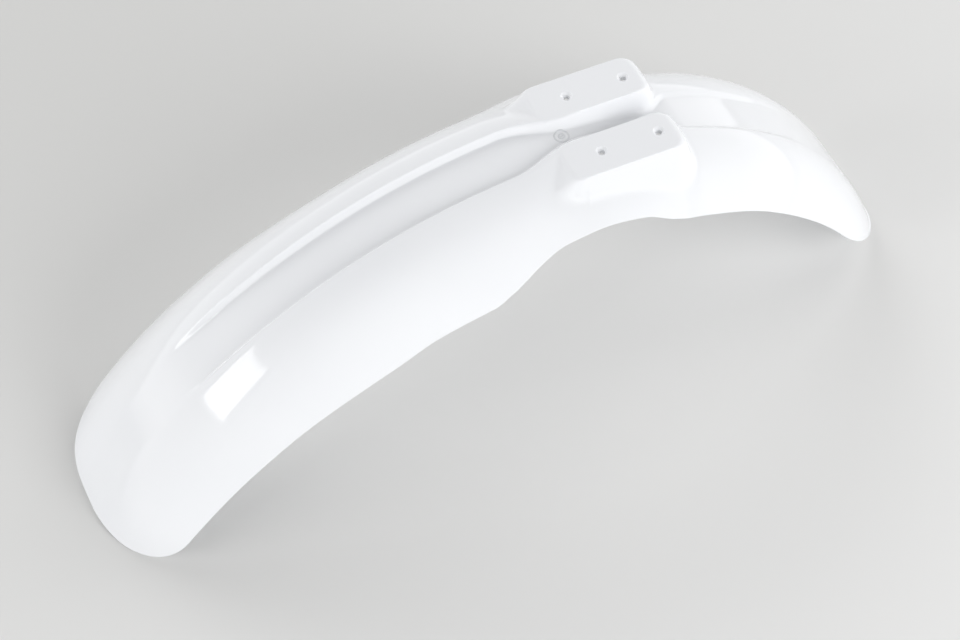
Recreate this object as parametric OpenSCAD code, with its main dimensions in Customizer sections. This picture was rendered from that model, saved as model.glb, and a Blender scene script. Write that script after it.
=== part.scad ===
// Front mudguard for an off-road motorcycle, moulded in one piece.
// The origin is the middle of the four fixing holes, in the plane of the mounting pads.
// +X points forward along the blade, +Y to the rider's left and +Z up, square to the pads.
// Places along the blade are lengths of arc on its crown, measured from above the origin.

/* [Crown] */
// Length of the front blade along its crown
front_length = 614; // [580:2:640]
// Length of the tail along its crown
tail_length = 370; // [340:2:390]
// Where the crown is highest
crown_top = 56; // [40:1:60]
// Radius of the crown ahead of its highest point
front_crown_radius = 510; // [470:5:560]
// Radius of the crown over the last part of the front blade
tip_crown_radius = 1100; // [700:50:1500]
// Length of the last, flatter part of the front blade
tip_run = 115; // [80:5:150]
// Radius of the crown behind its highest point
tail_crown_radius = 350; // [320:5:420]

/* [Plan] */
// Width of the front blade at its tip
blade_width = 206; // [190:1:216]
// Width of the waist that clears the fork legs
waist_width = 169; // [160:1:176]
// Width of the tail
tail_width = 184; // [174:1:192]
// Radius of the two front corners
tip_radius = 38; // [30:1:48]
// How far the front edge bows forward in its middle
tip_bow = 13; // [6:1:18]
// Radius of the two rear corners
tail_radius = 84; // [60:2:90]
// How far the rear edge bows backward in its middle
tail_bow = 3; // [0:1:8]

/* [Flanks] */
// Half width at which the drops below are given
drop_reach = 100; // [96:1:108]
// Drop of the flanks below the crown at the tail end
tail_drop = 35; // [28:1:42]
// Drop of the flanks below the crown behind the fork legs
rear_drop = 60; // [52:1:66]
// Drop of the flanks below the crown at the waist
waist_drop = 51; // [46:1:56]
// Drop of the flanks below the crown ahead of the fork legs
brow_drop = 66; // [58:1:72]
// Drop of the flanks below the crown at the tip
tip_drop = 32; // [26:1:40]
// Roundness of the flanks, where 1 is a flat slope
flank_power = 1.93; // [1.7:0.01:2.2]
// Thickness of the moulded wall
wall = 2.6; // [2:0.1:3]
// Width of the turned-out lip at the rear end
lip_width = 4; // [3:0.5:6]
// Height of the turned-out lip at the rear end
lip_height = 1.2; // [0.5:0.1:2]
// Length of tail over which the lip dies away
lip_run = 90; // [60:5:150]

/* [Channel] */
// Width of the channel between the mounting pads
neck_width = 30; // [27:1:33]
// Depth of the channel below the crown, between the pads
neck_depth = 8.5; // [7:0.5:10]
// Width across which each side of the channel slopes between the pads
neck_slope = 10; // [8:0.5:12]
// Width of the channel over the front blade
channel_width = 54; // [48:1:60]
// Depth of the channel over the front blade
channel_depth = 7; // [4:0.5:9]
// Width across which each side of the channel slopes over the front blade
channel_slope = 5; // [4:0.5:7]
// Width of the shallow panel over the tail
tail_panel_width = 48; // [44:1:56]
// Depth of the shallow panel over the tail
tail_panel_depth = 2.5; // [1:0.5:3.5]

/* [Mounting pads] */
// Distance between the holes along the blade
hole_spacing_x = 55; // [52:1:58]
// Distance between the holes across the blade
hole_spacing_y = 69; // [66:1:72]
// Diameter of the fixing holes
hole_d = 9; // [6:0.5:10]
// Diameter of the boss under each hole
boss_d = 20; // [18:1:22]
// Depth of the boss below the top of the pad
boss_depth = 6.5; // [5:0.5:9]
// Flat length of a pad ahead of its front hole
pad_front_margin = 31; // [24:1:36]
// Flat length of a pad behind its rear hole
pad_rear_margin = 11.5; // [10.5:0.5:15]
// Flat width of a mounting pad
pad_width = 41; // [38:1:43]
// Radius of the corners of a mounting pad, seen from above
pad_radius = 10; // [8:1:16]
// Height of the pads above the top of the crown
pad_height = 3.7; // [2.5:0.1:5]
// Radius that rounds the two ends of a pad downwards
pad_end_round = 9.5; // [6:0.5:12]
// Radius that rounds the two sides of a pad downwards
pad_edge_round = 1.2; // [0.5:0.1:3]
// Size of the fillet where the sides of a pad meet the shell
foot_fillet = 5; // [2:0.5:8]
// Width over which the crown comes down from the front end of the pads to the flanks
swell_reach = 30; // [20:1:40]
// Thickness of the moulding under the pads
pad_wall = 3; // [2.5:0.1:4]

/* [Hidden] */
$fn = 48;

// Steepness of the front ends of the pads, and of their sides and rear ends
pad_front_fall = 0.6;
pad_side_fall = 3.7;
// Height of the pads above the crown at their front ends
swell_gap = 0.3;
pad_front = hole_spacing_x/2 + pad_front_margin;
pad_rear = -hole_spacing_x/2 - pad_rear_margin;
pad_inner = neck_width/2;
pad_outer = pad_inner + pad_width;
pad_foot = pad_outer + 4.5;
tip_start = front_length - tip_run;

// Tables of a place along the crown and the value there, joined by smooth curves
half_width_table = [
    [-tail_length, tail_width/2 + 1],
    [-0.6*tail_length, tail_width/2],
    [-90, waist_width/2 + 4.8],
    [-32, waist_width/2 + 3.3],
    [0, waist_width/2 + 0.2],
    [82, waist_width/2],
    [150, blade_width/2 - 7.1],
    [172, blade_width/2 - 4.6],
    [235, blade_width/2 - 4.9],
    [285, blade_width/2 - 3.1],
    [0.6*front_length, blade_width/2 - 1.3],
    [front_length, blade_width/2]
];
drop_table = [
    [-tail_length, tail_drop],
    [-150, tail_drop + 12],
    [-50, rear_drop],
    [40, waist_drop],
    [110, brow_drop],
    [240, brow_drop - 1],
    [0.65*front_length, (brow_drop + tip_drop)/2 - 1],
    [front_length, tip_drop]
];
channel_half_table = [
    [-tail_length, tail_panel_width/2 + 3],
    [-130, tail_panel_width/2 + 2],
    [pad_rear - 28, tail_panel_width/2],
    [pad_rear - 6, neck_width/2],
    [pad_front - 20, neck_width/2],
    [pad_front + 46, channel_width/2],
    [0.7*front_length, channel_width/2],
    [0.78*front_length, channel_width/2 - 4.5],
    [front_length, channel_width/2 - 9]
];
channel_slope_table = [
    [pad_rear - 24, channel_slope + 2],
    [pad_rear + 4, neck_slope],
    [pad_front - 20, neck_slope],
    [pad_front + 46, channel_slope],
    [0.7*front_length, channel_slope],
    [0.9*front_length, channel_slope + 4]
];
channel_depth_table = [
    [-0.62*tail_length, 0],
    [-0.4*tail_length, tail_panel_depth],
    [pad_rear - 30, tail_panel_depth],
    [pad_rear - 2, 0.75*neck_depth],
    [0, 0.95*neck_depth],
    [pad_front - 10, neck_depth],
    [pad_front + 46, channel_depth],
    [0.42*front_length, channel_depth],
    [0.65*front_length, 0.6*channel_depth],
    [0.75*front_length, 0]
];
swell_table = [
    [pad_rear + 10, 0],
    [pad_front - 16, pad_height - swell_gap],
    [pad_front, pad_height - swell_gap],
    [pad_front + 55, 0]
];

// Slope of a table's curve between its points i and i + 1
function table_rise(t, i) = (t[i + 1][1] - t[i][1])/(t[i + 1][0] - t[i][0]);

// Slope of a table's curve at its point i, level where the curve turns back
function table_slope(t, i) =
    i == 0 || i == len(t) - 1 ? 0 :
    let (a = table_rise(t, i - 1), b = table_rise(t, i))
    a*b <= 0 ? 0 : 2*a*b/(a + b);

// Value of a table's smooth curve at the place s
function table_value(t, s) =
    s <= t[0][0] ? t[0][1] :
    s >= t[len(t) - 1][0] ? t[len(t) - 1][1] :
    let (
        i = max([for (k = [0:len(t) - 2]) if (s >= t[k][0]) k]),
        h = t[i + 1][0] - t[i][0],
        u = (s - t[i][0])/h
    )
    t[i][1]*(1 + 2*u)*(1 - u)*(1 - u) + t[i + 1][1]*(3 - 2*u)*u*u
    + h*table_slope(t, i)*u*(1 - u)*(1 - u) - h*table_slope(t, i + 1)*u*u*(1 - u);

function degrees(arc, radius) = arc/radius*180/PI;

// Slope of the crown in degrees, positive where it falls towards the front
function crown_slope(s) =
    s < crown_top ? degrees(s - crown_top, tail_crown_radius) :
    s < tip_start ? degrees(s - crown_top, front_crown_radius) :
    degrees(tip_start - crown_top, front_crown_radius) + degrees(s - tip_start, tip_crown_radius);

// Point of the crown at the place s, as [x, z]
function crown_point(s) =
    let (a = crown_slope(s))
    s < tip_start ?
        let (r = s < crown_top ? tail_crown_radius : front_crown_radius)
        [crown_top + r*sin(a), -pad_height - r*(1 - cos(a))] :
        let (a0 = crown_slope(tip_start))
        [
            crown_top + front_crown_radius*sin(a0) + tip_crown_radius*(sin(a) - sin(a0)),
            -pad_height - front_crown_radius*(1 - cos(a0)) - tip_crown_radius*(cos(a0) - cos(a))
        ];

// Share of a step from 0 to 1 with rounded ends
function ease(u) = let (v = min(1, max(0, u))) v*v*(3 - 2*v);

// Height of the outer face above the crown line at the distance y from the middle
function section_height(s, y, half, slope) =
    table_value(swell_table, s)*(1 - ease((y - half)/swell_reach))
    - (
        y < half ?
            table_value(channel_depth_table, s)*(1 - ease((y - half + slope)/slope)) :
            table_value(drop_table, s)*pow((y - half)/(drop_reach - half), flank_power)
    );

// Angle in degrees at which the flank falls at the distance y from the middle
function flank_angle(s, y, half) =
    y <= half ? 0 :
    let (u = (y - half)/(drop_reach - half))
    atan(table_value(drop_table, s)*flank_power/(drop_reach - half)*pow(u, flank_power - 1));

// Height of a mounting pad over the point [x, y], falling away beyond its rounded outline
function pad_level(x, y, inset) =
    let (
        middle = (pad_front + pad_rear)/2,
        qx = max(0, abs(x - middle) - (pad_front - pad_rear)/2 + pad_radius),
        qy = max(0, abs(y - (pad_inner + pad_outer)/2) - pad_width/2 + pad_radius),
        reach = norm([qx, qy]),
        d = max(0, reach - pad_radius + inset),
        side = d > 0 ? pow(qy/reach, 2) : 0,
        fall = pad_side_fall*side + (x < middle ? pad_side_fall : pad_front_fall)*(1 - side),
        rounding = pad_edge_round*side + pad_end_round*(1 - side),
        turn = rounding*fall/norm([1, fall]),
        curved = rounding - sqrt(pow(rounding, 2) - pow(min(d, turn), 2))
    )
    -curved - fall*max(0, d - turn);

// The higher of two heights, with a fillet of the given size where they are alike
function join_heights(low, high, fillet) =
    let (share = fillet > 0 ? max(0, 1 - abs(low - high)/fillet) : 0)
    max(low, high) + share*share*fillet/4;

// Point of the outer or the inner skin, with its corners rounded and its rear rim turned out
function skin_point(s, y, half, slope, inner) =
    let (
        w = table_value(half_width_table, s),
        ahead = s > 0,
        p = ahead ? front_length - s : tail_length + s,
        q = w - y,
        radius = ahead ? tip_radius : tail_radius,
        reach = 1.17*radius,
        pull = 0.293*radius*pow(max(0, 1 - p/reach), 2)*pow(max(0, 1 - q/reach), 2),
        bow = (ahead ? tip_bow : -tail_bow)*pow(y/w, 2)*pow(max(0, 1 - p/200), 2),
        s2 = s + (ahead ? -pull : pull) - bow,
        y2 = y - pull,
        bead = max(1 - ease(p/lip_width), 1 - ease(q/lip_width)),
        lip = lip_height*bead*(1 - ease((s + tail_length)/lip_run)),
        rise = lip - (inner ? wall : 0),
        tilt = flank_angle(s2, y2, half),
        n = section_height(s2, y2, half, slope) + rise*cos(tilt),
        y3 = y2 + rise*sin(tilt),
        a = crown_slope(s2),
        c = crown_point(s2),
        x = c[0] + n*sin(a),
        z = c[1] + n*cos(a),
        level = pad_level(x, y3, inner ? wall : 0),
        pad = level - (inner ? pad_wall : 0)
    )
    [x, y3, join_heights(z, pad, min(foot_fillet, -2*level))];

// Distances of the mesh lines from the middle at the place s, from the middle to the rim
function line_places(s, half, slope) =
    let (rim = table_value(half_width_table, s), edge = rim - lip_width)
    concat(
        [0],
        [for (k = [0:4]) half - slope*(1 - k/4)],
        [half + 3, (half + 3 + pad_outer - wall)/2, pad_outer - wall],
        [pad_outer, pad_outer + pad_edge_round, pad_foot],
        [for (k = [1:3]) pad_foot + (edge - pad_foot)*k/4],
        [for (f = [1, 0.5, 0]) rim - lip_width*f]
    );

// One cross section of a skin, from the right rim to the left rim
function skin_row(s, inner) =
    let (
        half = table_value(channel_half_table, s) + (inner ? 0.8*wall : 0),
        slope = table_value(channel_slope_table, s),
        places = line_places(s, half, slope),
        n = len(places)
    )
    [
        for (k = [-(n - 1):n - 1])
            let (p = skin_point(s, places[abs(k)], half, slope, inner))
            [p[0], (k < 0 ? -1 : 1)*p[1], p[2]]
    ];

// Places from a up to but not including b, in n equal steps
function steps(a, b, n) = [for (k = [0:n - 1]) a + (b - a)*k/n];

// Places of the cross sections, closer together at the ends and around the pads
stations = concat(
    [for (f = [0, 0.3, 0.65, 1]) -tail_length + lip_width*f],
    steps(-tail_length + 8, pad_rear - 34, 14),
    steps(pad_rear - 34, pad_rear - 12, 4),
    steps(pad_rear - 12, pad_rear, 6),
    steps(pad_rear, pad_front - 10, 8),
    steps(pad_front - 10, pad_front + 22, 9),
    steps(pad_front + 22, 172, 8),
    steps(172, tip_start, 13),
    steps(tip_start, front_length - 40, 5),
    steps(front_length - 40, front_length, 5),
    [front_length]
);

module shell() {
    outer = [for (s = stations) skin_row(s, false)];
    inner = [for (s = stations) skin_row(s, true)];
    rows = len(stations);
    cols = len(outer[0]);
    under = rows*cols;
    points = concat([for (r = outer) each r], [for (r = inner) each r]);
    top_faces = [
        for (i = [0:rows - 2], j = [0:cols - 2])
            let (a = i*cols + j, b = a + cols)
            each j < (cols - 1)/2 ?
                [[a, a + 1, b + 1], [a, b + 1, b]] :
                [[a, a + 1, b], [a + 1, b + 1, b]]
    ];
    bottom_faces = [for (f = top_faces) [f[2] + under, f[1] + under, f[0] + under]];
    side_faces = [
        for (i = [0:rows - 2])
            let (a = i*cols, b = a + cols, c = a + cols - 1, d = c + cols)
            each [
                [a, b, b + under], [a, b + under, a + under],
                [d, c, c + under], [d, c + under, d + under]
            ]
    ];
    end_faces = [
        for (j = [0:cols - 2])
            let (a = j, b = (rows - 1)*cols + j)
            each [
                [a + 1, a, a + under], [a + 1, a + under, a + 1 + under],
                [b, b + 1, b + 1 + under], [b, b + 1 + under, b + under]
            ]
    ];
    polyhedron(points, concat(top_faces, bottom_faces, side_faces, end_faces));
}

// Places the children at the four fixing holes
module at_holes() {
    for (x = [-1, 1], y = [-1, 1])
        translate([x*hole_spacing_x/2, y*hole_spacing_y/2, 0]) children();
}

module mudguard() {
    color("white")
    difference() {
        union() {
            shell();
            at_holes() translate([0, 0, -boss_depth]) cylinder(h = boss_depth - 1, d = boss_d);
        }
        at_holes() translate([0, 0, -boss_depth - 1]) cylinder(h = boss_depth + 2, d = hole_d);
    }
}

mudguard();
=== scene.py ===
"""Studio model of a white off-road motorcycle front mudguard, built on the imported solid.

Lengths in ShellForm and Mudguard are millimetres, as on a drawing of the part. Meshes, finishes
and the studio are in metres.
"""

import logging
import math
from dataclasses import dataclass, field
from enum import Enum
from typing import Any

import bpy
import numpy as np
from mathutils import Matrix, Vector


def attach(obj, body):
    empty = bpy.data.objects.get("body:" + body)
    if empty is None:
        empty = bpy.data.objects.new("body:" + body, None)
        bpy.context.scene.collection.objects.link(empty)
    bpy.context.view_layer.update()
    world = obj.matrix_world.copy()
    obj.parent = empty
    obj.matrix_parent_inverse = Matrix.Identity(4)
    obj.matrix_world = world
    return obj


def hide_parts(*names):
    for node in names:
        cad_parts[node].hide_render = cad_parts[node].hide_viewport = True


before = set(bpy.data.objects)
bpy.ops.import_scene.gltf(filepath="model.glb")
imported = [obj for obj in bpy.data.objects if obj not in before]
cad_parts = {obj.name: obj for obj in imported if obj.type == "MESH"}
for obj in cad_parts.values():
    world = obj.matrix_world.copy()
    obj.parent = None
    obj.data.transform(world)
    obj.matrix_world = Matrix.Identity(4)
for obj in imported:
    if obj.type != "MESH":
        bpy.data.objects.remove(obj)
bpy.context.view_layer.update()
LOG = logging.getLogger("mudguard")
MM = 0.001
TINY = 1e-9

Colour = tuple[float, float, float, float]
Point = tuple[float, float, float]
Table = list[tuple[float, float]]


class Skin(Enum):
    """The two faces of the moulded wall."""

    OUTER = "outer"
    INNER = "inner"


class Change(Enum):
    """What a set of plugs does to the shell."""

    ADD = "UNION"
    CUT = "DIFFERENCE"


# ---------------------------------------------------------------- shader helpers


class Socket:
    """A shader output that can be used in Python arithmetic."""

    def __init__(self, painter: "Painter", link: Any) -> None:
        """Wrap one output socket.

        Args:
            painter: the node builder that owns the tree.
            link: the output socket itself.
        """
        self.painter = painter
        self.link = link

    def _math(self, operation: str, a: Any, b: Any = None) -> "Socket":
        """Add one Math node.

        Args:
            operation: name of the Math operation.
            a: first value.
            b: second value, if the operation has one.

        Returns:
            The result.
        """
        inputs = {0: a} if b is None else {0: a, 1: b}
        return self.painter.node("ShaderNodeMath", {"operation": operation}, inputs)

    def __add__(self, other: Any) -> "Socket":
        """Sum."""
        return self._math("ADD", self, other)

    __radd__ = __add__

    def __sub__(self, other: Any) -> "Socket":
        """Difference."""
        return self._math("SUBTRACT", self, other)

    def __rsub__(self, other: Any) -> "Socket":
        """Difference from a number."""
        return self._math("SUBTRACT", other, self)

    def __mul__(self, other: Any) -> "Socket":
        """Product."""
        return self._math("MULTIPLY", self, other)

    __rmul__ = __mul__

    def __lt__(self, other: Any) -> "Socket":
        """1 where this is smaller."""
        return self._math("LESS_THAN", self, other)

    def __abs__(self) -> "Socket":
        """Size without sign."""
        return self._math("ABSOLUTE", self)

    def most(self, other: Any) -> "Socket":
        """The larger of two values."""
        return self._math("MAXIMUM", self, other)

    def root(self) -> "Socket":
        """Square root."""
        return self._math("SQRT", self)

    def ramp(self, low: float, high: float) -> "Socket":
        """Rise smoothly from 0 at low to 1 at high.

        Args:
            low: value where the result is 0.
            high: value where the result is 1.

        Returns:
            The share between the two, with rounded ends.
        """
        settings = {"interpolation_type": "SMOOTHSTEP"}
        inputs = {"Value": self, "From Min": low, "From Max": high}
        return self.painter.node("ShaderNodeMapRange", settings, inputs)


class Painter:
    """Builds one material's node tree."""

    def __init__(self, name: str) -> None:
        """Start an empty material.

        Args:
            name: the material's name.
        """
        self.material = bpy.data.materials.new(name)
        self.material.use_nodes = True
        self.tree = self.material.node_tree
        self.tree.nodes.clear()

    def node(
        self,
        kind: str,
        settings: dict[str, Any] | None = None,
        inputs: dict[Any, Any] | None = None,
        out: Any = 0,
    ) -> Socket:
        """Add a node and connect it.

        Args:
            kind: the node's type name.
            settings: its own settings, set before its sockets.
            inputs: values or links by socket name or place.
            out: the output wanted, by name or place.

        Returns:
            The wanted output.
        """
        item = self.tree.nodes.new(kind)
        for key, value in (settings or {}).items():
            setattr(item, key, value)
        for key, value in (inputs or {}).items():
            if isinstance(value, Socket):
                self.tree.links.new(value.link, item.inputs[key])
            else:
                item.inputs[key].default_value = value
        return Socket(self, item.outputs[out])

    def place(self) -> tuple[Socket, Socket, Socket, Socket]:
        """Read the piece's own coordinates.

        Returns:
            The whole vector, then x forward, y to the side and z up, in metres.
        """
        whole = self.node("ShaderNodeTexCoord", out="Object")
        split = self.node("ShaderNodeSeparateXYZ", inputs={"Vector": whole})
        x, y, z = (Socket(self, output) for output in split.link.node.outputs)
        return whole, x, y, z

    def noise(self, place: Socket, scale: float, detail: float) -> Socket:
        """Add soft random variation.

        Args:
            place: where on the surface.
            scale: how fine it is.
            detail: how much finer structure it holds.

        Returns:
            Values from 0 to 1.
        """
        inputs = {"Vector": place, "Scale": scale, "Detail": detail}
        return self.node("ShaderNodeTexNoise", inputs=inputs)

    def mix(self, factor: Any, a: Any, b: Any) -> Socket:
        """Blend two colours.

        Args:
            factor: share of the second colour.
            a: first colour.
            b: second colour.

        Returns:
            The blended colour.
        """
        return self.node("ShaderNodeMix", {"data_type": "RGBA"}, {0: factor, 6: a, 7: b}, out=2)

    def finish(self, shader: Socket) -> bpy.types.Material:
        """Connect the surface and hand the material over.

        Args:
            shader: the shader to show.

        Returns:
            The finished material.
        """
        output = self.tree.nodes.new("ShaderNodeOutputMaterial")
        self.tree.links.new(shader.link, output.inputs["Surface"])
        return self.material


# ---------------------------------------------------------------- finishes


@dataclass(frozen=True)
class GlossWhite:
    """Glossy white moulded plastic, a little duller on the pads, with a blank date ring whose
    lines carry painted shade.
    """

    name: str = "gloss_white"
    deep: Colour = (0.785, 0.797, 0.82, 1.0)
    light: Colour = (0.82, 0.83, 0.85, 1.0)
    # Grey of the painted shade laid on the date ring's lines.
    painted_ring_shade: Colour = (0.36, 0.38, 0.41, 1.0)
    painted_ring_shade_share: float = 0.4
    cloud_scale: float = 9.0
    grain_scale: float = 900.0
    flow_scale: float = 60.0
    pad_band: tuple[float, float] = (-0.0012, -0.0002)
    under_band: tuple[float, float] = (-0.012, -0.006)
    rough: float = 0.06
    rough_cloud: float = 0.03
    rough_grain: float = 0.02
    rough_pad: float = 0.05
    lift_grain: float = 0.02
    lift_flow: float = 0.05
    lift_ring: float = 1.6
    lift_height: float = 0.0003
    ring_place: tuple[float, float] = (0.048, -0.001)
    ring_radius: float = 0.0064
    ring_inner: float = 0.4
    ring_line: float = 0.00045

    def line(self, distance: Socket) -> Socket:
        """Mark a thin line.

        Args:
            distance: distance from the middle of the line.

        Returns:
            1 on the line, falling to 0 beside it.
        """
        return 1 - abs(distance).ramp(self.ring_line, 2 * self.ring_line)

    def ring(self, x: Socket, y: Socket) -> Socket:
        """Draw the blank date ring of the mould.

        Args:
            x: forward position.
            y: sideways position.

        Returns:
            1 on the raised lines.
        """
        dx, dy = x - self.ring_place[0], y - self.ring_place[1]
        reach = (dx * dx + dy * dy).root()
        inner_radius = self.ring_inner * self.ring_radius
        bar = self.line(dy) * (reach < inner_radius)
        return self.line(reach - self.ring_radius).most(self.line(reach - inner_radius)).most(bar)

    def build(self) -> bpy.types.Material:
        """Make the material.

        Returns:
            The finished material.
        """
        p = Painter(self.name)
        place, x, y, z = p.place()
        cloud = p.noise(place, self.cloud_scale, 3.0)
        grain = p.noise(place, self.grain_scale, 2.0)
        flow = p.noise(place, self.flow_scale, 1.0)
        pad = z.ramp(*self.pad_band)
        above = z.ramp(*self.under_band)
        mark = self.ring(x, y) * (1 - pad) * above
        # Painted shade: the date ring's lines are darkened in the base colour, standing in for
        # shade in their relief.
        tint = p.mix(self.painted_ring_shade_share * mark, p.mix(cloud, self.deep, self.light), self.painted_ring_shade)
        rough = self.rough + self.rough_cloud * cloud + self.rough_grain * grain
        rough = rough + self.rough_pad * pad
        height = self.lift_grain * grain + self.lift_flow * flow + self.lift_ring * mark
        lift = {"Strength": 1.0, "Distance": self.lift_height, "Height": height}
        bump = p.node("ShaderNodeBump", inputs=lift)
        surface = {"Base Color": tint, "Roughness": rough, "Normal": bump, "IOR": 1.49}
        return p.finish(p.node("ShaderNodeBsdfPrincipled", inputs=surface))


@dataclass(frozen=True)
class StudioSurface:
    """Pale matt paper of the studio sweep, with painted light: a little lighter on the near side,
    where the key lamp falls.
    """

    name: str = "studio_paper"
    # Paper colours of the painted light: darker on the far side, lighter on the near side.
    painted_shaded_far_side: Colour = (0.622, 0.622, 0.612, 1.0)
    painted_lit_near_side: Colour = (0.775, 0.775, 0.77, 1.0)
    way: tuple[float, float] = (-0.35, 0.9)
    band: tuple[float, float] = (-0.95, 0.6)

    def build(self) -> bpy.types.Material:
        """Make the material.

        Returns:
            The finished material.
        """
        p = Painter(self.name)
        _, x, y, _ = p.place()
        # Painted light: the paper's colour grows lighter towards the near side, as the key lamp's
        # falloff.
        near = (self.way[1] * y + self.way[0] * x).ramp(*self.band)
        tint = p.mix(near, self.painted_shaded_far_side, self.painted_lit_near_side)
        paper = {"Base Color": tint, "Roughness": 0.9}
        return p.finish(p.node("ShaderNodeBsdfPrincipled", inputs=paper))


# ---------------------------------------------------------------- the moulding's form


@dataclass
class ShellForm:
    """The drawn form of the mudguard, in millimetres."""

    front_length: float = 614.0
    tail_length: float = 370.0
    crown_top: float = 56.0
    front_crown_radius: float = 510.0
    tip_crown_radius: float = 1100.0
    tip_run: float = 115.0
    tail_crown_radius: float = 350.0
    blade_width: float = 206.0
    waist_width: float = 169.0
    tail_width: float = 184.0
    tip_radius: float = 43.0
    tip_bow: float = 13.0
    tail_radius: float = 82.0
    tail_bow: float = 3.0
    bow_run: float = 200.0
    corner_reach: float = 1.17
    corner_pull: float = 0.291
    drop_reach: float = 100.0
    tail_drop: float = 35.0
    rear_drop: float = 60.0
    waist_drop: float = 51.0
    brow_drop: float = 66.0
    tip_drop: float = 32.0
    flank_power: float = 1.93
    wall: float = 2.6
    lip_width: float = 4.0
    lip_height: float = 1.2
    lip_run: float = 90.0
    neck_width: float = 30.0
    neck_depth: float = 8.5
    neck_slope: float = 10.0
    channel_width: float = 54.0
    channel_depth: float = 7.0
    channel_slope: float = 5.0
    channel_under: float = 0.8
    tail_panel_width: float = 48.0
    tail_panel_depth: float = 2.5
    hole_spacing_x: float = 55.0
    hole_spacing_y: float = 69.0
    bore_d: float = 5.8
    mouth_d: float = 10.4
    mouth_depth: float = 2.1
    boss_d: float = 20.0
    boss_depth: float = 6.5
    pad_front_margin: float = 31.0
    pad_rear_margin: float = 11.5
    pad_width: float = 41.0
    pad_radius: float = 10.0
    pad_height: float = 3.7
    pad_wall: float = 3.0
    pad_front_fall: float = 0.6
    pad_side_fall: float = 3.7
    pad_end_round: float = 9.5
    pad_edge_round: float = 1.2
    pad_reach: float = 60.0
    pad_far_fall: float = 2.0
    foot_fillet: float = 5.0
    flank_fillet: float = 15.0
    fillet_run: float = 10.0
    fillet_outer_lead: float = 6.0
    fillet_rear_lead: float = 4.0
    fillet_inner_run: float = 12.0
    flush_lead: float = 14.0
    flush_run: float = 12.0
    flush_share: float = 0.9
    swell_gap: float = 0.12
    swell_run: float = 30.0
    pad_front: float = field(init=False)
    pad_rear: float = field(init=False)
    pad_inner: float = field(init=False)
    pad_outer: float = field(init=False)
    tip_start: float = field(init=False)
    tip_turn: float = field(init=False)

    def __post_init__(self) -> None:
        """Work out the sizes that follow from the others."""
        self.pad_front = self.hole_spacing_x / 2 + self.pad_front_margin
        self.pad_rear = -self.hole_spacing_x / 2 - self.pad_rear_margin
        self.pad_inner = self.neck_width / 2
        self.pad_outer = self.pad_inner + self.pad_width
        self.tip_start = self.front_length - self.tip_run
        self.tip_turn = (self.tip_start - self.crown_top) / self.front_crown_radius

    def half_width_table(self) -> Table:
        """Half width of the rim by place along the crown."""
        return [
            (-self.tail_length, self.tail_width / 2 + 1),
            (-0.6 * self.tail_length, self.tail_width / 2),
            (-90, self.waist_width / 2 + 4.8),
            (-32, self.waist_width / 2 + 3.3),
            (0, self.waist_width / 2 + 0.2),
            (82, self.waist_width / 2),
            (150, self.blade_width / 2 - 7.1),
            (172, self.blade_width / 2 - 4.6),
            (235, self.blade_width / 2 - 4.9),
            (285, self.blade_width / 2 - 3.1),
            (0.6 * self.front_length, self.blade_width / 2 - 1.3),
            (self.front_length, self.blade_width / 2),
        ]

    def drop_table(self) -> Table:
        """Drop of the flanks by place along the crown."""
        return [
            (-self.tail_length, self.tail_drop),
            (-150, self.tail_drop + 12),
            (-50, self.rear_drop),
            (40, self.waist_drop),
            (110, self.brow_drop),
            (240, self.brow_drop - 1),
            (0.65 * self.front_length, (self.brow_drop + self.tip_drop) / 2 - 1),
            (self.front_length, self.tip_drop),
        ]

    def channel_half_table(self) -> Table:
        """Half width of the channel by place along the crown."""
        return [
            (-self.tail_length, self.tail_panel_width / 2 + 3),
            (-130, self.tail_panel_width / 2 + 2),
            (self.pad_rear - 28, self.tail_panel_width / 2),
            (self.pad_rear - 6, self.neck_width / 2),
            (self.pad_front - 20, self.neck_width / 2),
            (self.pad_front + 46, self.channel_width / 2),
            (0.7 * self.front_length, self.channel_width / 2),
            (0.78 * self.front_length, self.channel_width / 2 - 4.5),
            (self.front_length, self.channel_width / 2 - 9),
        ]

    def channel_depth_table(self) -> Table:
        """Depth of the channel by place along the crown."""
        return [
            (-0.62 * self.tail_length, 0),
            (-0.4 * self.tail_length, self.tail_panel_depth),
            (self.pad_rear - 30, self.tail_panel_depth),
            (self.pad_rear - 2, 0.75 * self.neck_depth),
            (0, 0.95 * self.neck_depth),
            (self.pad_front - 10, self.neck_depth),
            (self.pad_front + 46, self.channel_depth),
            (0.42 * self.front_length, self.channel_depth),
            (0.65 * self.front_length, 0.6 * self.channel_depth),
            (0.75 * self.front_length, 0),
        ]

    def swell_table(self) -> Table:
        """Rise of the crown towards the front end of the pads, by place along the crown."""
        return [
            (self.pad_rear + 10, 0),
            (self.pad_front - 16, self.pad_height - self.swell_gap),
            (self.pad_front, self.pad_height - self.swell_gap),
            (self.pad_front + 55, 0),
        ]

    def slope_run_table(self) -> Table:
        """Width across which each side of the channel slopes, by place along the crown."""
        return [
            (self.pad_rear - 24, self.channel_slope + 2),
            (self.pad_rear + 4, self.neck_slope),
            (self.pad_front - 20, self.neck_slope),
            (self.pad_front + 46, self.channel_slope),
            (0.7 * self.front_length, self.channel_slope),
            (0.9 * self.front_length, self.channel_slope + 4),
        ]

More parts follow.
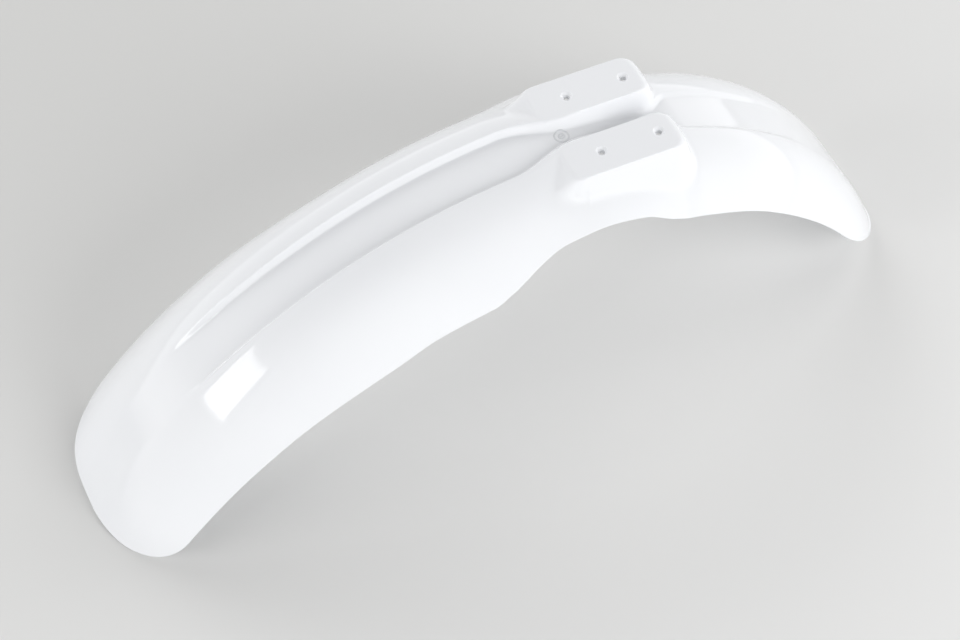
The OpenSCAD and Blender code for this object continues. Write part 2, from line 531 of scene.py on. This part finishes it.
    @staticmethod
    def follow(table: Table, s: np.ndarray) -> np.ndarray:
        """Read a table along a smooth curve that never overshoots.

        Args:
            table: places and values.
            s: places to read at.

        Returns:
            The values there.
        """
        t = np.array(table, float)
        place, value = t[:, 0], t[:, 1]
        rise = np.diff(value) / np.diff(place)
        tangent = np.zeros(len(place))
        for i in range(1, len(place) - 1):
            a, b = rise[i - 1], rise[i]
            tangent[i] = 0.0 if a * b <= 0 else 2 * a * b / (a + b)
        s = np.clip(s, place[0], place[-1])
        i = np.clip(np.searchsorted(place, s, side="right") - 1, 0, len(place) - 2)
        h = place[i + 1] - place[i]
        u = (s - place[i]) / h
        return (
            value[i] * (1 + 2 * u) * (1 - u) ** 2
            + value[i + 1] * (3 - 2 * u) * u**2
            + h * tangent[i] * u * (1 - u) ** 2
            - h * tangent[i + 1] * u**2 * (1 - u)
        )

    @staticmethod
    def ease(u: np.ndarray) -> np.ndarray:
        """Step from 0 to 1 with rounded ends."""
        v = np.clip(u, 0, 1)
        return v * v * (3 - 2 * v)

    def crown_slope(self, s: np.ndarray) -> np.ndarray:
        """Slope of the crown.

        Args:
            s: places along the crown.

        Returns:
            Angles in radians, positive where the crown falls forward.
        """
        return np.where(
            s < self.crown_top,
            (s - self.crown_top) / self.tail_crown_radius,
            np.where(
                s < self.tip_start,
                (s - self.crown_top) / self.front_crown_radius,
                self.tip_turn + (s - self.tip_start) / self.tip_crown_radius,
            ),
        )

    def crown_point(self, s: np.ndarray) -> tuple[np.ndarray, np.ndarray]:
        """Place of the crown.

        Args:
            s: places along the crown.

        Returns:
            Forward and upward positions.
        """
        a = self.crown_slope(s)
        sin_turn, cos_turn = math.sin(self.tip_turn), math.cos(self.tip_turn)
        radius = np.where(s < self.crown_top, self.tail_crown_radius, self.front_crown_radius)
        x = self.crown_top + radius * np.sin(a)
        z = -self.pad_height - radius * (1 - np.cos(a))
        x_turn = self.crown_top + self.front_crown_radius * sin_turn
        z_turn = -self.pad_height - self.front_crown_radius * (1 - cos_turn)
        x_tip = x_turn + self.tip_crown_radius * (np.sin(a) - sin_turn)
        z_tip = z_turn - self.tip_crown_radius * (cos_turn - np.cos(a))
        tip = s >= self.tip_start
        return np.where(tip, x_tip, x), np.where(tip, z_tip, z)

    def channel_half(self, s: np.ndarray, skin: Skin) -> np.ndarray:
        """Half width of the channel on either face of the wall.

        Args:
            s: places along the crown.
            skin: which face of the wall.

        Returns:
            The half widths, wider under the wall.
        """
        wider = self.channel_under * self.wall if skin is Skin.INNER else 0.0
        return self.follow(self.channel_half_table(), s) + wider

    def edge_gaps(self, s: np.ndarray, y: np.ndarray) -> tuple[np.ndarray, np.ndarray]:
        """Distances to the nearer end and to the rim, before the corners are rounded.

        Args:
            s: places along the crown.
            y: distances from the middle.

        Returns:
            The distances to the end and to the rim.
        """
        to_end = np.where(s > 0, self.front_length - s, self.tail_length + s)
        return to_end, self.follow(self.half_width_table(), s) - y

    def rounded(self, s: np.ndarray, y: np.ndarray) -> tuple[np.ndarray, np.ndarray]:
        """Pull the four corners in and bow the two ends.

        Args:
            s: places along the crown.
            y: distances from the middle.

        Returns:
            The places and distances of the rounded outline.
        """
        ahead = s > 0
        to_end, to_rim = self.edge_gaps(s, y)
        radius = np.where(ahead, self.tip_radius, self.tail_radius)
        reach = self.corner_reach * radius
        near_end = np.maximum(0, 1 - to_end / reach) ** 2
        near_rim = np.maximum(0, 1 - to_rim / reach) ** 2
        pull = self.corner_pull * radius * near_end * near_rim
        y_in = y - pull
        share = y_in / self.follow(self.half_width_table(), s)
        fade = np.maximum(0, 1 - (to_end + pull) / self.bow_run)
        bow = np.where(ahead, self.tip_bow, -self.tail_bow) * share**2 * fade**2
        return s + np.where(ahead, -pull, pull) - bow, y_in

    def lip(self, s: np.ndarray, y: np.ndarray) -> np.ndarray:
        """Height of the turned-out lip round the rear end.

        Args:
            s: places along the crown.
            y: distances from the middle.

        Returns:
            The heights, 0 away from the lip.
        """
        to_end, to_rim = self.edge_gaps(s, y)
        at_end = 1 - self.ease(to_end / self.lip_width)
        at_rim = 1 - self.ease(to_rim / self.lip_width)
        fade = 1 - self.ease((s + self.tail_length) / self.lip_run)
        return self.lip_height * np.maximum(at_end, at_rim) * fade

    def section(
        self, s: np.ndarray, y: np.ndarray, half: np.ndarray, run: np.ndarray
    ) -> tuple[np.ndarray, np.ndarray]:
        """Cross section of the shell, without the pads.

        Args:
            s: places along the crown.
            y: distances from the middle.
            half: half widths of the channel.
            run: widths of its sloped sides.

        Returns:
            Heights over the crown and the outward slope in radians.
        """
        width = self.drop_reach - half
        u = np.maximum(0, y - half) / width
        drop = self.follow(self.drop_table(), s)
        depth = self.follow(self.channel_depth_table(), s)
        channel = -depth * (1 - self.ease((y - half + run) / run))
        height = np.where(y < half, channel, -drop * u**self.flank_power)
        tilt = np.arctan(drop * self.flank_power / width * u ** (self.flank_power - 1))
        swell = self.follow(self.swell_table(), s) * (1 - self.ease((y - half) / self.swell_run))
        return height + swell, tilt

    def pad_level(self, x: np.ndarray, y: np.ndarray, inset: float) -> np.ndarray:
        """Height of a mounting pad, falling away beyond its rounded outline.

        Args:
            x: forward positions.
            y: distances from the middle.
            inset: how far the outline is drawn in.

        Returns:
            Heights, 0 on the flat top.
        """
        mid_x = (self.pad_front + self.pad_rear) / 2
        mid_y = (self.pad_inner + self.pad_outer) / 2
        half_length = (self.pad_front - self.pad_rear) / 2
        qx = np.maximum(0, np.abs(x - mid_x) - half_length + self.pad_radius)
        qy = np.maximum(0, np.abs(y - mid_y) - self.pad_width / 2 + self.pad_radius)
        reach = np.hypot(qx, qy)
        d = np.maximum(0, reach - self.pad_radius + inset)
        side = np.where(reach > TINY, qy / np.maximum(reach, TINY), 0) ** 2
        end_fall = np.where(x < mid_x, self.pad_side_fall, self.pad_front_fall)
        fall = self.pad_side_fall * side + (1 - side) * end_fall
        rounding = self.pad_edge_round * side + (1 - side) * self.pad_end_round
        turn = rounding * fall / np.sqrt(1 + fall**2)
        curved = rounding - np.sqrt(np.maximum(0, rounding**2 - np.minimum(d, turn) ** 2))
        far = self.pad_far_fall * np.maximum(0, d - self.pad_reach)
        return -(curved + fall * np.maximum(0, d - turn) + far)

    def foot(self, x: np.ndarray, y: np.ndarray, fall: np.ndarray) -> np.ndarray:
        """Size of the fillet at the foot of a pad.

        Args:
            x: forward positions.
            y: distances from the middle.
            fall: heights of the pad's upper face.

        Returns:
            Sizes, largest on the outer and rear sides and next to none where the pad is flush.
        """
        outer = self.ease((y - self.pad_outer + self.fillet_outer_lead) / self.fillet_run)
        behind = self.ease((self.pad_rear + self.fillet_rear_lead - x) / self.fillet_run)
        beside = self.ease((y - self.pad_inner) / self.fillet_inner_run)
        wide = np.maximum(outer, behind * beside)
        fillet = self.foot_fillet + (self.flank_fillet - self.foot_fillet) * wide
        flush = self.ease((x - self.pad_front + self.flush_lead) / self.flush_run)
        return np.minimum(fillet, -2 * fall * (1 - self.flush_share * flush))

    @staticmethod
    def join(low: np.ndarray, pad: np.ndarray, fillet: np.ndarray) -> np.ndarray:
        """The higher of two surfaces, with a fillet where they meet.

        Args:
            low: heights of the shell.
            pad: heights of the pad.
            fillet: sizes of the fillet.

        Returns:
            The joined heights.
        """
        share = np.maximum(0, fillet - np.abs(low - pad)) / np.maximum(fillet, TINY)
        return np.maximum(low, pad) + share * share * fillet * 0.25

    def point(self, s: np.ndarray, y: np.ndarray, skin: Skin) -> np.ndarray:
        """Place of a point of the outer or inner skin.

        Args:
            s: places along the crown.
            y: distances from the middle, 0 or more, before the corners are rounded.
            skin: which face of the wall.

        Returns:
            One row of x, y and z for each point.
        """
        wall, pad_wall = (self.wall, self.pad_wall) if skin is Skin.INNER else (0.0, 0.0)
        half = self.channel_half(s, skin)
        run = self.follow(self.slope_run_table(), s)
        s_in, y_in = self.rounded(s, y)
        height, tilt = self.section(s_in, y_in, half, run)
        rise = self.lip(s, y) - wall
        n = height + rise * np.cos(tilt)
        side = y_in + rise * np.sin(tilt)
        a = self.crown_slope(s_in)
        crown_x, crown_z = self.crown_point(s_in)
        x = crown_x + n * np.sin(a)
        z = crown_z + n * np.cos(a)
        fall = self.pad_level(x, side, wall)
        top = self.join(z, fall - pad_wall, self.foot(x, side, fall))
        return np.stack([x, side, top], axis=-1)


# ---------------------------------------------------------------- the piece


@dataclass
class Mudguard:
    """The one moulded piece: a thick, curved shell with pads, bosses and flared holes."""

    form: ShellForm = field(default_factory=ShellForm)
    body: str = "root"
    node: str = "mudguard"
    name: str = "mudguard_shell"
    edge_round: float = 0.7
    edge_steps: np.ndarray = field(
        default_factory=lambda: np.array([0, 0.1, 0.35, 0.7, 1.1, 1.8, 2.8, 4.0])
    )
    floor_shares: tuple[float, ...] = (0.35, 0.7, 0.9)
    slope_lines: int = 15
    brow_steps: tuple[float, ...] = (0.3, 0.6, 0.9, 1.3, 1.9, 2.9, 4.2, 6.0)
    top_shares: tuple[float, ...] = (0.25, 0.5, 0.75, 1.0)
    foot_lead: float = 6.0
    foot_steps: tuple[float, ...] = (
        2, 3.6, 4.8, 5.6, 6, 6.3, 6.6, 6.9, 7.3, 7.8, 8.4, 9.1, 9.9, 10.8, 12,
    )
    flank_lines: int = 10
    first_flank_share: float = 0.12
    plug_sides: int = 48
    plug_margin: float = 1.0
    mouth_lap: float = 0.15
    mouth_over: float = 0.5
    weld_gap: float = 0.01
    smooth_angle: float = math.radians(38)

    @staticmethod
    def pick(target: bpy.types.Object) -> None:
        """Select one object alone and make it active.

        Args:
            target: the object.
        """
        bpy.ops.object.select_all(action="DESELECT")
        target.select_set(True)
        bpy.context.view_layer.objects.active = target

    def stations(self) -> np.ndarray:
        """Place the cross sections, closer together at the ends and the pads.

        Returns:
            Their places along the crown, from tail to nose.
        """
        f = self.form
        spans = [
            (-f.tail_length + 6, f.pad_rear - 36, 60),
            (f.pad_rear - 33, f.pad_rear - 14, 12),
            (f.pad_rear - 13, f.pad_rear + 6, 39),
            (f.pad_rear + 9, f.pad_front - 12, 26),
            (f.pad_front - 10, f.pad_front + 12, 40),
            (f.pad_front + 14, 172, 36),
            (176, f.tip_start, 70),
            (f.tip_start + 4, f.front_length - 46, 15),
            (f.front_length - 43, f.front_length - 6, 14),
        ]
        tail = -f.tail_length + self.edge_steps
        nose = f.front_length - self.edge_steps[::-1]
        return np.concatenate([tail, *(np.linspace(*span) for span in spans), nose])

    def lines(self, s: np.ndarray, skin: Skin) -> np.ndarray:
        """Distances of the long mesh lines from the middle.

        Args:
            s: places of the cross sections.
            skin: which face of the wall.

        Returns:
            One row for each place, from the middle to the rim.
        """
        f = self.form
        half = f.channel_half(s, skin)
        run = f.follow(f.slope_run_table(), s)
        rim = f.follow(f.half_width_table(), s)
        edge = rim - self.edge_steps[-1]
        start = half + self.brow_steps[-1]
        stop = f.pad_outer - self.foot_lead
        foot = stop + self.foot_steps[-1]
        flank_shares = np.linspace(self.first_flank_share, 1.0, self.flank_lines)
        columns = [np.zeros_like(s)]
        columns += [(half - run) * t for t in self.floor_shares]
        columns += [half - run * (1 - t) for t in np.linspace(0, 1, self.slope_lines)]
        columns += [half + d for d in self.brow_steps]
        columns += [start + (stop - start) * t for t in self.top_shares]
        columns += [np.full_like(s, stop + d) for d in self.foot_steps]
        columns += [foot + (edge - foot) * t for t in flank_shares]
        columns += [rim - d for d in self.edge_steps[-2::-1]]
        return np.stack(columns, axis=1)

    def sheet(self, skin: Skin) -> bpy.types.Object:
        """Make one face of the wall from a grid primitive.

        Args:
            skin: which face of the wall.

        Returns:
            The shaped sheet.
        """
        s = self.stations()
        side = self.lines(s, skin)
        rows, middle = len(s) - 1, side.shape[1] - 1
        bpy.ops.object.select_all(action="DESELECT")
        bpy.ops.mesh.primitive_grid_add(x_subdivisions=rows, y_subdivisions=2 * middle, size=1.0)
        sheet = bpy.context.object
        sheet.name = f"{self.name}_{skin.value}"
        mesh = sheet.data
        flat = np.empty(len(mesh.vertices) * 3)
        mesh.vertices.foreach_get("co", flat)
        flat = flat.reshape(-1, 3)
        row = np.rint((flat[:, 0] + 0.5) * rows).astype(int)
        col = np.rint((flat[:, 1] + 0.5) * (2 * middle)).astype(int)
        hand = np.where(col < middle, -1.0, 1.0)
        y = side[row, np.abs(col - middle)]
        placed = self.form.point(s[row], y, skin)
        placed[:, 1] *= hand
        mesh.vertices.foreach_set("co", (placed * MM).ravel())
        mesh.update()
        normal = np.empty(len(placed) * 3)
        mesh.vertex_normals.foreach_get("vector", normal)
        inward = -1.0 if skin is Skin.OUTER else 1.0
        placed += inward * self.edge_drop(placed, row, col)[:, None] * normal.reshape(-1, 3)
        mesh.vertices.foreach_set("co", (placed * MM).ravel())
        self.unroll(mesh, np.stack([s[row], y * hand], axis=1) * MM)
        if skin is Skin.INNER:
            bpy.ops.object.mode_set(mode="EDIT")
            bpy.ops.mesh.select_all(action="SELECT")
            bpy.ops.mesh.flip_normals()
            bpy.ops.object.mode_set(mode="OBJECT")
        return sheet

    @staticmethod
    def unroll(mesh: bpy.types.Mesh, flat: np.ndarray) -> None:
        """Give a sheet a map in metres along and across the crown.

        Args:
            mesh: the sheet's mesh.
            flat: one row for each point, along and across.
        """
        layer = mesh.uv_layers.active or mesh.uv_layers.new(name="along")
        layer.name = "along"
        corner = np.empty(len(mesh.loops), dtype=int)
        mesh.loops.foreach_get("vertex_index", corner)
        layer.data.foreach_set("uv", flat[corner].ravel())

    def edge_drop(self, placed: np.ndarray, row: np.ndarray, col: np.ndarray) -> np.ndarray:
        """Work out how far each point sinks where the rim is rounded.

        Args:
            placed: the sheet's points, in millimetres.
            row: each point's place in the grid, from tail to nose.
            col: each point's place in the grid, from side to side.

        Returns:
            The depth at each point, 0 away from the rim.
        """
        last_row, last_col = row.max(), col.max()
        grid = np.empty((last_row + 1, last_col + 1, 3))
        grid[row, col] = placed
        loop = np.concatenate([grid[:, 0], grid[-1, 1:], grid[-2::-1, -1], grid[0, -2::-1]])
        start, step = loop[:-1], np.diff(loop, axis=0)
        length = (step**2).sum(axis=1)
        from_side = np.minimum(col, last_col - col)
        near = np.minimum(np.minimum(row, last_row - row), from_side) < len(self.edge_steps)
        distance = np.full(len(placed), np.inf)
        for i in np.flatnonzero(near):
            gap = placed[i] - start
            share = np.clip((gap * step).sum(axis=1) / length, 0, 1)
            distance[i] = np.sqrt(((gap - share[:, None] * step) ** 2).sum(axis=1).min())
        short = np.maximum(0, self.edge_round - distance)
        return self.edge_round - np.sqrt(self.edge_round**2 - short**2)

    def shell(self) -> bpy.types.Object:
        """Join both faces of the wall and close the rim.

        Returns:
            The closed shell, before its bosses and holes.
        """
        outer = self.sheet(Skin.OUTER)
        inner = self.sheet(Skin.INNER)
        self.pick(outer)
        inner.select_set(True)
        bpy.ops.object.join()
        outer.name = self.name
        bpy.ops.object.mode_set(mode="EDIT")
        bpy.ops.mesh.select_mode(type="EDGE")
        bpy.ops.mesh.select_all(action="DESELECT")
        bpy.ops.mesh.select_non_manifold(
            extend=False,
            use_boundary=True,
            use_multi_face=False,
            use_non_contiguous=False,
            use_verts=False,
        )
        bpy.ops.mesh.bridge_edge_loops(type="PAIRS", use_merge=False)
        bpy.ops.mesh.select_mode(type="FACE")
        bpy.ops.object.mode_set(mode="OBJECT")
        return outer

    def plugs(
        self, name: str, radius_low: float, radius_high: float, low: float, high: float
    ) -> bpy.types.Object:
        """Make a round plug at each of the four screw places.

        Args:
            name: name of the plugs.
            radius_low: radius at the lower end, in millimetres.
            radius_high: radius at the upper end, in millimetres.
            low: height of the lower end, in millimetres.
            high: height of the upper end, in millimetres.

        Returns:
            The four plugs as one object.
        """
        x, y = self.form.hole_spacing_x / 2 * MM, self.form.hole_spacing_y / 2 * MM
        made = []
        for place_x in (-x, x):
            for place_y in (-y, y):
                bpy.ops.object.select_all(action="DESELECT")
                bpy.ops.mesh.primitive_cone_add(
                    vertices=self.plug_sides,
                    radius1=radius_low * MM,
                    radius2=radius_high * MM,
                    depth=(high - low) * MM,
                    location=(place_x, place_y, (low + high) / 2 * MM),
                )
                bpy.context.object.name = name
                bpy.ops.object.transform_apply(location=True, rotation=True, scale=True)
                made.append(bpy.context.object)
        self.pick(made[0])
        for item in made:
            item.select_set(True)
        bpy.ops.object.join()
        return made[0]

    def combine(self, target: bpy.types.Object, plugs: bpy.types.Object, how: Change) -> None:
        """Change the shell with a set of plugs, which are used up.

        Args:
            target: the shell.
            plugs: the plugs.
            how: whether they are added or cut out.
        """
        self.pick(target)
        change = target.modifiers.new(how.name.lower(), "BOOLEAN")
        change.operation = how.value
        change.object = plugs
        change.solver = "EXACT"
        bpy.ops.object.modifier_apply(modifier=change.name)
        bpy.data.objects.remove(plugs, do_unlink=True)

    def fixings(self, target: bpy.types.Object) -> None:
        """Add the bosses and cut the bores and their flared mouths.

        Args:
            target: the shell.
        """
        f = self.form
        boss, bore, mouth = f.boss_d / 2, f.bore_d / 2, f.mouth_d / 2
        over, under = self.plug_margin, -f.boss_depth - self.plug_margin
        slope = f.mouth_depth / (mouth - bore + self.mouth_lap)
        narrow, wide = bore - self.mouth_lap, mouth + self.mouth_over / slope
        self.combine(target, self.plugs("boss", boss, boss, -f.boss_depth, -over), Change.ADD)
        self.combine(target, self.plugs("bore", bore, bore, under, over), Change.CUT)
        flare = self.plugs("mouth", narrow, wide, -f.mouth_depth, self.mouth_over)
        self.combine(target, flare, Change.CUT)

    def weld(self, target: bpy.types.Object) -> None:
        """Merge the points that the cuts left on top of each other.

        Args:
            target: the shell after its cuts.
        """
        self.pick(target)
        bpy.ops.object.mode_set(mode="EDIT")
        bpy.ops.mesh.select_all(action="SELECT")
        bpy.ops.mesh.remove_doubles(threshold=self.weld_gap * MM)
        bpy.ops.mesh.dissolve_degenerate(threshold=self.weld_gap * MM)
        bpy.ops.object.mode_set(mode="OBJECT")

    def dress(self, target: bpy.types.Object) -> None:
        """Give the shell its finish and smooth all but its sharp edges.

        Args:
            target: the finished shell.
        """
        target.data.materials.clear()
        target.data.materials.append(GlossWhite().build())
        self.pick(target)
        bpy.ops.object.shade_smooth_by_angle(angle=self.smooth_angle)

    def build(self) -> bpy.types.Object:
        """Returns:
            The finished piece.
        """
        shell = self.shell()
        LOG.info("shell: %d faces", len(shell.data.polygons))
        self.fixings(shell)
        self.weld(shell)
        self.dress(shell)
        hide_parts(self.node)
        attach(shell, self.body)
        LOG.info("mudguard: %d faces", len(shell.data.polygons))
        return shell


# ---------------------------------------------------------------- studio


@dataclass(frozen=True)
class Lamp:
    """One soft rectangular lamp; only a mirrored one shows in the gloss of the piece."""

    name: str
    place: Point
    aim: Point
    size: tuple[float, float]
    power: float
    mirrored: bool = False

    def hang(self) -> bpy.types.Object:
        """Put the lamp at its place, facing its aim.

        Returns:
            The lamp.
        """
        data = bpy.data.lights.new(self.name, "AREA")
        data.shape = "RECTANGLE"
        data.size, data.size_y = self.size
        data.energy = self.power
        lamp = bpy.data.objects.new(self.name, data)
        bpy.context.scene.collection.objects.link(lamp)
        way = Vector(self.aim) - Vector(self.place)
        lamp.rotation_euler = way.to_track_quat("-Z", "Y").to_euler()
        lamp.location = self.place
        lamp.visible_glossy = self.mirrored
        return lamp


@dataclass
class Studio:
    """Floor, lamps, world and camera of the photograph."""

    tilt: float = math.radians(3.2)
    floor_size: float = 14.0
    centre: Point = (0.69703, 1.19512, 1.52798)
    right: Point = (-0.90753, 0.41986, 0.01056)
    up: Point = (-0.3295, -0.72736, 0.60197)
    focal_px: float = 2366.1
    photo_px: float = 960.0
    sensor: float = 36.0
    view_end: float = 50.0
    wall_light: float = 1.65
    wall_top: float = 0.9
    under_light: float = 0.35
    under_fade: float = 0.1
    lamps: tuple[Lamp, ...] = (
        Lamp("key", (-1.1, 2.2, 1.5), (0.0, 0.0, -0.1), (1.6, 1.2), 41.0),
        Lamp("front", (2.15, 0.1, 0.75), (0.38, 0.045, -0.12), (1.5, 0.62), 13.0, mirrored=True),
        Lamp("rear", (-1.9, -0.4, 1.6), (0.0, 0.0, -0.1), (1.6, 1.2), 15.5),
        Lamp("far", (0.3, -2.4, 1.3), (0.1, 0.0, -0.1), (1.8, 1.2), 21.5),
    )

    def floor(self, piece: bpy.types.Object) -> bpy.types.Object:
        """Lay the floor under the piece, tilted as the piece stands on it.

        Args:
            piece: what stands on the floor.

        Returns:
            The floor.
        """
        normal = Vector((math.sin(self.tilt), 0.0, math.cos(self.tilt)))
        points = np.empty(len(piece.data.vertices) * 3)
        piece.data.vertices.foreach_get("co", points)
        level = float((points.reshape(-1, 3) @ np.array(normal)).min())
        bpy.ops.object.select_all(action="DESELECT")
        bpy.ops.mesh.primitive_plane_add(size=self.floor_size)
        floor = bpy.context.object
        floor.name = "studio_floor"
        turn = Matrix.Rotation(self.tilt, 4, "Y")
        floor.data.transform(Matrix.Translation(normal * level) @ turn)
        floor.data.materials.append(StudioSurface().build())
        LOG.info("floor level %.4f", level)
        return floor

    def camera(self) -> bpy.types.Object:
        """Place the camera where the photograph was taken.

        Returns:
            The camera.
        """
        data = bpy.data.cameras.new("camera")
        data.sensor_width = self.sensor
        data.lens = self.focal_px / self.photo_px * self.sensor
        data.clip_end = self.view_end
        camera = bpy.data.objects.new("camera", data)
        bpy.context.scene.collection.objects.link(camera)
        right, up = Vector(self.right).normalized(), Vector(self.up).normalized()
        back = right.cross(up)
        turn = Matrix((right, back.cross(right), back)).transposed().to_4x4()
        camera.matrix_world = Matrix.Translation(Vector(self.centre)) @ turn
        bpy.context.scene.camera = camera
        return camera

    @staticmethod
    def fade(
        height: bpy.types.NodeSocket, start: tuple[float, float], end: tuple[float, float]
    ) -> bpy.types.NodeSocket:
        """Let a value change evenly with height in the world's nodes.

        Args:
            height: the output that gives the height.
            start: the lower height and the value there.
            end: the upper height and the value there.

        Returns:
            The output that gives the value.
        """
        tree = height.id_data
        item = tree.nodes.new("ShaderNodeMapRange")
        names = ("From Min", "To Min", "From Max", "To Max")
        for name, value in zip(names, (*start, *end)):
            item.inputs[name].default_value = value
        tree.links.new(height, item.inputs["Value"])
        return item.outputs[0]

    def world(self) -> None:
        """Light the room from its pale walls, brighter at eye level than overhead."""
        world = bpy.data.worlds.new("studio")
        world.use_nodes = True
        tree = world.node_tree
        background = tree.nodes["Background"]
        background.inputs["Color"].default_value = (1.0, 1.0, 1.0, 1.0)
        way = tree.nodes.new("ShaderNodeTexCoord")
        split = tree.nodes.new("ShaderNodeSeparateXYZ")
        both = tree.nodes.new("ShaderNodeMath")
        both.operation = "MULTIPLY"
        tree.links.new(way.outputs["Generated"], split.inputs[0])
        height = split.outputs["Z"]
        walls = self.fade(height, (0.0, self.wall_light), (self.wall_top, 0.0))
        under = self.fade(height, (-self.under_fade, self.under_light), (0.0, 1.0))
        tree.links.new(walls, both.inputs[0])
        tree.links.new(under, both.inputs[1])
        tree.links.new(both.outputs[0], background.inputs["Strength"])
        bpy.context.scene.world = world

    def build(self, piece: bpy.types.Object) -> None:
        """Set up the whole studio round the piece.

        Args:
            piece: the object in the middle.
        """
        self.floor(piece)
        self.camera()
        self.world()
        for lamp in self.lamps:
            lamp.hang()
        scene = bpy.context.scene
        scene.view_settings.view_transform = "Standard"


def main() -> None:
    """Build everything in order."""
    logging.basicConfig(level=logging.INFO, format="%(name)s: %(message)s")
    piece = Mudguard().build()
    Studio().build(piece)


if __name__ == "__main__":
    main()
